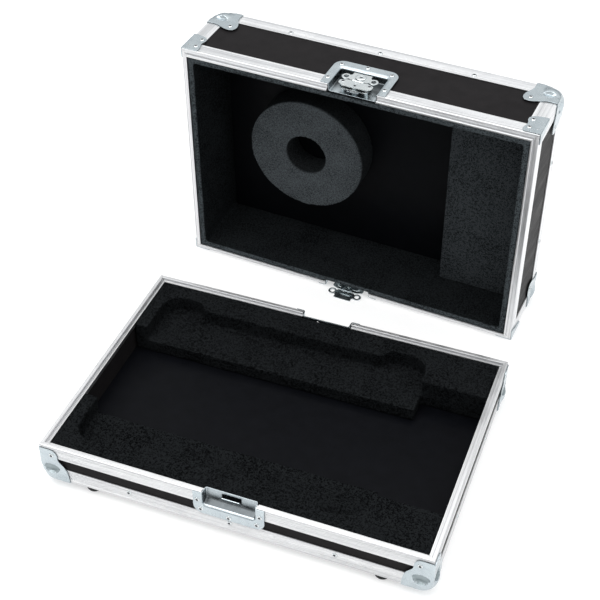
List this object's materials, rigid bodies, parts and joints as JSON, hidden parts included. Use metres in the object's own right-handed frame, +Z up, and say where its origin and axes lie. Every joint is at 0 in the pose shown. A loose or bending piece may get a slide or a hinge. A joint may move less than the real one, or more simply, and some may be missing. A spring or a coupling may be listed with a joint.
{
  "type": "dj media player flight case",
  "caption": "Shallow foam-fitted tray and deep lift-off lid of black laminated board in aluminium profile, with steel ball corners and recessed butterfly latches.",
  "frame": {"origin": "centre of the footprint of the open case, on the surface it stands on", "axes": "+Z up; +Y from the tray in front to the lid standing behind it; +X to the tray's right, seen from its front"},
  "size_m": [0.5435, 0.6416, 0.3687],
  "materials": {
    "black_laminate": "fine satin grain, near black",
    "inner_board": "smooth soft sheen, black",
    "aluminium_profile": "extruded with fine ribs along its length, satin",
    "zinc_steel": "bright bluish zinc plate",
    "lid_foam": "charcoal open-cell foam",
    "tray_foam": "black open-cell foam",
    "rubber_foot": "matt black"
  },
  "bodies": {
    "tray": {"tray_floor_board": "inner_board", "tray_wall_boards": "black_laminate", "tray_front_rail_left": "aluminium_profile", "tray_front_rail_right": "aluminium_profile", "tray_rear_rail_left": "aluminium_profile", "tray_rear_rail_right": "aluminium_profile", "tray_left_rail": "aluminium_profile", "tray_right_rail": "aluminium_profile", "tray_front_edge_angle": "aluminium_profile", "tray_rear_edge_angle": "aluminium_profile", "tray_left_edge_angle": "aluminium_profile", "tray_right_edge_angle": "aluminium_profile", "tray_ball_corner_front_left": "zinc_steel", "tray_ball_corner_front_right": "zinc_steel", "tray_ball_corner_rear_left": "zinc_steel", "tray_ball_corner_rear_right": "zinc_steel", "tray_front_keeper_dish": "zinc_steel", "tray_rear_keeper_dish": "zinc_steel", "tray_foot_front_left": "rubber_foot", "tray_foot_front_right": "rubber_foot", "tray_foot_rear_left": "rubber_foot", "tray_foot_rear_right": "rubber_foot", "tray_front_foam": "tray_foam", "tray_rear_foam": "tray_foam"},
    "rear_latch_pin": {"lid_rear_latch_pin": "zinc_steel"},
    "lid": {"lid_top_board": "inner_board", "lid_wall_boards": "black_laminate", "lid_front_rail_left": "aluminium_profile", "lid_front_rail_right": "aluminium_profile", "lid_rear_rail_left": "aluminium_profile", "lid_rear_rail_right": "aluminium_profile", "lid_left_rail": "aluminium_profile", "lid_right_rail": "aluminium_profile", "lid_front_edge_angle": "aluminium_profile", "lid_rear_edge_angle": "aluminium_profile", "lid_left_edge_angle": "aluminium_profile", "lid_right_edge_angle": "aluminium_profile", "lid_corner_angle_front_left": "aluminium_profile", "lid_corner_angle_front_right": "aluminium_profile", "lid_corner_angle_rear_left": "aluminium_profile", "lid_corner_angle_rear_right": "aluminium_profile", "lid_corner_brace_front_left": "zinc_steel", "lid_corner_brace_front_right": "zinc_steel", "lid_corner_brace_rear_left": "zinc_steel", "lid_corner_brace_rear_right": "zinc_steel", "lid_ball_corner_front_left": "zinc_steel", "lid_ball_corner_front_right": "zinc_steel", "lid_ball_corner_rear_left": "zinc_steel", "lid_ball_corner_rear_right": "zinc_steel", "lid_front_latch_dish": "zinc_steel", "lid_rear_latch_dish": "zinc_steel", "lid_foam_lining": "lid_foam", "lid_foam_ring": "lid_foam", "lid_foam_block": "lid_foam"},
    "front_hook": {"lid_front_latch_hook": "zinc_steel"},
    "front_key": {"lid_front_latch_key": "zinc_steel"},
    "front_grip": {"lid_front_latch_grip": "zinc_steel"},
    "rear_hook": {"lid_rear_latch_hook": "zinc_steel"},
    "rear_key": {"lid_rear_latch_key": "zinc_steel"},
    "rear_grip": {"lid_rear_latch_grip": "zinc_steel"}
  },
  "joints": [
    {"name": "lid_close", "type": "hinge", "parent": "tray", "child": "rear_latch_pin", "pos_m": [0.00754, 0.0783, -0.03579], "axis": [0.9944, 0.0766, -0.0727], "range_deg": [0, 88.82]},
    {"name": "lid_swivel", "type": "hinge", "parent": "rear_latch_pin", "child": "lid", "pos_m": [-0.00964, 0.19203, 0.00709], "axis": [-0.0019, -0.0263, 0.9997], "range_deg": [0, 12.66]},
    {"name": "front_latch_turn", "type": "hinge", "parent": "lid", "child": "front_key", "pos_m": [-0.01032, 0.18269, 0.36197], "axis": [-0.0019, -0.0263, 0.9997], "range_deg": [0, 180]},
    {"name": "front_grip_lift", "type": "hinge", "parent": "front_key", "child": "front_grip", "pos_m": [-0.00949, 0.19417, 0.36202], "axis": [0.9973, -0.0728, 0], "range_deg": [0, 95]},
    {"name": "front_hook_slide", "type": "slide", "parent": "lid", "child": "front_hook", "axis": [-0.0728, -0.997, -0.0264], "range_m": [0, 0.0081]},
    {"name": "rear_latch_turn", "type": "hinge", "parent": "lid", "child": "rear_key", "pos_m": [-0.00963, 0.19216, 0.00209], "axis": [0.0019, 0.0263, -0.9997], "range_deg": [-180, 0]},
    {"name": "rear_grip_lift", "type": "hinge", "parent": "rear_key", "child": "rear_grip", "pos_m": [-0.01047, 0.18069, 0.00204], "axis": [0.9973, -0.0728, 0], "range_deg": [0, 95]},
    {"name": "rear_hook_slide", "type": "slide", "parent": "lid", "child": "rear_hook", "axis": [0.0728, 0.997, 0.0264], "range_m": [0, 0.0081]}
  ],
  "couplings": [
    {"joint": "lid_swivel", "follows": "lid_close", "ratio": 0.14239},
    {"joint": "front_hook_slide", "follows": "front_latch_turn", "m_per_rad": 0.0025465},
    {"joint": "rear_hook_slide", "follows": "rear_latch_turn", "m_per_rad": -0.0025465}
  ]
}
